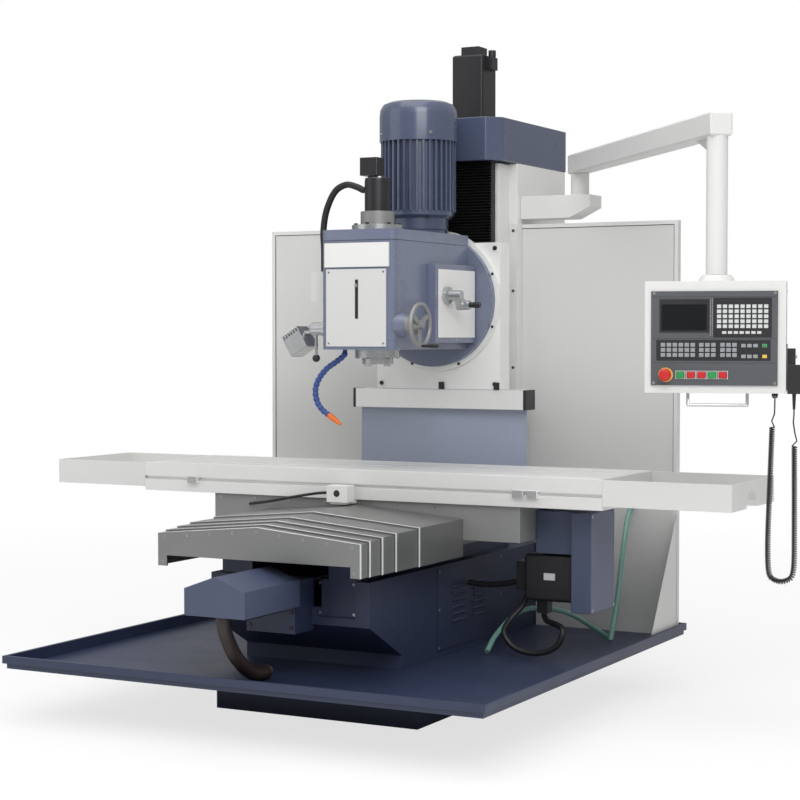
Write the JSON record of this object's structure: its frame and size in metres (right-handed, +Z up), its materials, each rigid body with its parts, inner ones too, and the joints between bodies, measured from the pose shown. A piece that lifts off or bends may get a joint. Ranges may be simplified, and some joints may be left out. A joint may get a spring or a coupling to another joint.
{
  "type": "vertical milling machine",
  "caption": "CNC bed-type vertical milling machine with a swivelling head, long T-slot table, telescopic way cover, drip tray, splash panels and a control pendant on a swing arm.",
  "frame": {"origin": "on the floor under the spindle axis", "axes": "+X along the table to the operator's right, +Y from the operator to the column, +Z up"},
  "size_m": [3.226, 2.414, 2.645],
  "materials": {
    "black": "matte",
    "blue": "semi-gloss enamel",
    "cast_grey": "satin",
    "dark_steel": "blackened",
    "green": "gloss",
    "hose_blue": "matte",
    "hose_green": "gloss",
    "pale_grey": "semi-gloss enamel",
    "red": "gloss",
    "rubber": "matte",
    "steel": "ground",
    "white": "semi-gloss enamel"
  },
  "bodies": {
    "bed": {"bed_casting": "blue", "bed_panel": "blue", "drip_tray": "blue", "y_motor_cover": "blue", "y_motor": "black", "way_cover_0": "cast_grey", "column": "pale_grey", "column_cap": "blue", "z_motor": "black", "splash_panel_left": "pale_grey", "splash_panel_right": "pale_grey", "front_conduit": "rubber", "coolant_return": "hose_green", "coolant_supply": "hose_green", "arm_bracket": "pale_grey"},
    "y_screw": {"y_screw": "steel"},
    "cover_1": {"way_cover_1": "cast_grey"},
    "cover_2": {"way_cover_2": "cast_grey"},
    "cover_3": {"way_cover_3": "cast_grey"},
    "saddle": {"saddle": "cast_grey", "way_cover_4": "cast_grey", "x_drive_housing": "blue", "x_motor": "black", "limit_switch": "pale_grey", "x_conduit": "rubber", "x_motor_cable": "rubber"},
    "x_screw": {"x_screw": "steel"},
    "table": {"table": "steel", "wing_left": "pale_grey", "wing_right": "pale_grey"},
    "z_screw": {"z_screw": "steel"},
    "slide": {"z_slide": "white", "slide_apron": "cast_grey", "column_bellows": "black"},
    "head": {"head_housing": "blue", "face_plate": "white", "drawbar_unit": "dark_steel", "spindle_motor": "blue", "motor_fan_cover": "blue", "gear_cover": "blue", "head_conduit": "rubber", "coolant_hose": "hose_blue"},
    "quill": {"quill": "steel"},
    "spindle": {"spindle": "steel"},
    "fan": {"motor_fan": "black"},
    "handwheel": {"handwheel": "steel"},
    "feed_lever": {"feed_lever": "steel"},
    "speed_lever": {"speed_lever": "steel"},
    "lamp": {"work_lamp": "dark_steel"},
    "arm": {"pendant_arm": "pale_grey"},
    "pendant": {"pendant_box": "pale_grey", "mpg_unit": "black", "pendant_cord": "rubber"},
    "mpg_dial": {"mpg_dial": "steel"},
    "emergency_stop": {"emergency_stop": "red"},
    "push_button_0": {"push_button_0": "green"},
    "push_button_1": {"push_button_1": "red"},
    "push_button_2": {"push_button_2": "red"},
    "push_button_3": {"push_button_3": "green"},
    "push_button_4": {"push_button_4": "red"}
  },
  "joints": [
    {"name": "y_slide", "type": "slide", "parent": "bed", "child": "saddle", "axis": [0, 1, 0], "range_m": [-0.3, 0.15]},
    {"name": "y_screw_spin", "type": "hinge", "parent": "bed", "child": "y_screw", "pos_m": [0, 0, 0.505], "axis": [0, 1, 0], "continuous": true},
    {"name": "cover_1_slide", "type": "slide", "parent": "bed", "child": "cover_1", "axis": [0, 1, 0], "range_m": [-0.036, 0.018]},
    {"name": "cover_2_slide", "type": "slide", "parent": "bed", "child": "cover_2", "axis": [0, 1, 0], "range_m": [-0.0935, 0.0475]},
    {"name": "cover_3_slide", "type": "slide", "parent": "bed", "child": "cover_3", "axis": [0, 1, 0], "range_m": [-0.16, 0.081]},
    {"name": "x_slide", "type": "slide", "parent": "saddle", "child": "table", "axis": [1, 0, 0], "range_m": [-0.45, 0.45]},
    {"name": "x_screw_spin", "type": "hinge", "parent": "saddle", "child": "x_screw", "pos_m": [0, 0.099, 0.7235], "axis": [1, 0, 0], "continuous": true},
    {"name": "z_slide", "type": "slide", "parent": "bed", "child": "slide", "axis": [0, 0, 1], "range_m": [-0.15, 0.2], "deforming": ["column_bellows"]},
    {"name": "z_screw_spin", "type": "hinge", "parent": "bed", "child": "z_screw", "pos_m": [0, 0.672, 1], "axis": [0, 0, 1], "continuous": true},
    {"name": "head_swivel", "type": "hinge", "parent": "slide", "child": "head", "pos_m": [0, 0.47, 1.557], "axis": [0, 1, 0], "range_deg": [-30, 30]},
    {"name": "quill_slide", "type": "slide", "parent": "head", "child": "quill", "axis": [0, 0, 1], "range_m": [-0.105, 0]},
    {"name": "spindle_spin", "type": "hinge", "parent": "quill", "child": "spindle", "pos_m": [0, 0, 1.4], "axis": [0, 0, 1], "continuous": true},
    {"name": "fan_spin", "type": "hinge", "parent": "head", "child": "fan", "pos_m": [0, 0.347, 2.24], "axis": [0, 0, 1], "continuous": true},
    {"name": "handwheel_turn", "type": "hinge", "parent": "head", "child": "handwheel", "pos_m": [0.22, -0.118, 1.454], "axis": [1, 0, 0], "continuous": true},
    {"name": "feed_lever_turn", "type": "hinge", "parent": "head", "child": "feed_lever", "pos_m": [-0.2, -0.105, 1.44], "axis": [1, 0, 0], "range_deg": [-60, 60]},
    {"name": "speed_lever_turn", "type": "hinge", "parent": "head", "child": "speed_lever", "pos_m": [0.23, 0.192, 1.572], "axis": [1, 0, 0], "range_deg": [-60, 60]},
    {"name": "lamp_tilt", "type": "hinge", "parent": "head", "child": "lamp", "pos_m": [-0.3, -0.035, 1.425], "axis": [1, 0, 0], "range_deg": [-60, 60]},
    {"name": "arm_swing", "type": "hinge", "parent": "bed", "child": "arm", "pos_m": [0.51, 0.82, 2.085], "axis": [0, 0, 1], "range_deg": [-34, 60]},
    {"name": "pendant_turn", "type": "hinge", "parent": "arm", "child": "pendant", "pos_m": [1.4775, -0.318, 1.6], "axis": [0, 0, 1], "range_deg": [-90, 60]},
    {"name": "emergency_stop_press", "type": "slide", "parent": "pendant", "child": "emergency_stop", "axis": [-0.2588, 0.9659, 0], "range_m": [0, 0.005], "stiffness_N_per_m": 900, "springref_m": -0.002},
    {"name": "mpg_dial_turn", "type": "hinge", "parent": "pendant", "child": "mpg_dial", "pos_m": [1.77375, -0.2645, 1.262], "axis": [0.9659, 0.2588, 0], "continuous": true},
    {"name": "push_button_0_press", "type": "slide", "parent": "pendant", "child": "push_button_0", "axis": [-0.2588, 0.9659, 0], "range_m": [0, 0.003], "stiffness_N_per_m": 500, "springref_m": -0.001},
    {"name": "push_button_1_press", "type": "slide", "parent": "pendant", "child": "push_button_1", "axis": [-0.2588, 0.9659, 0], "range_m": [0, 0.003], "stiffness_N_per_m": 500, "springref_m": -0.001},
    {"name": "push_button_2_press", "type": "slide", "parent": "pendant", "child": "push_button_2", "axis": [-0.2588, 0.9659, 0], "range_m": [0, 0.003], "stiffness_N_per_m": 500, "springref_m": -0.001},
    {"name": "push_button_3_press", "type": "slide", "parent": "pendant", "child": "push_button_3", "axis": [-0.2588, 0.9659, 0], "range_m": [0, 0.003], "stiffness_N_per_m": 500, "springref_m": -0.001},
    {"name": "push_button_4_press", "type": "slide", "parent": "pendant", "child": "push_button_4", "axis": [-0.2588, 0.9659, 0], "range_m": [0, 0.003], "stiffness_N_per_m": 500, "springref_m": -0.001}
  ],
  "couplings": [
    {"joint": "y_screw_spin", "follows": "y_slide", "rad_per_m": 392.7},
    {"joint": "cover_1_slide", "follows": "y_slide", "ratio": 0.116},
    {"joint": "cover_2_slide", "follows": "y_slide", "ratio": 0.307},
    {"joint": "cover_3_slide", "follows": "y_slide", "ratio": 0.53},
    {"joint": "x_screw_spin", "follows": "x_slide", "rad_per_m": 392.7},
    {"joint": "z_screw_spin", "follows": "z_slide", "rad_per_m": 392.7},
    {"joint": "handwheel_turn", "follows": "quill_slide", "rad_per_m": 209.44},
    {"joint": "fan_spin", "follows": "spindle_spin", "ratio": 1.25}
  ]
}
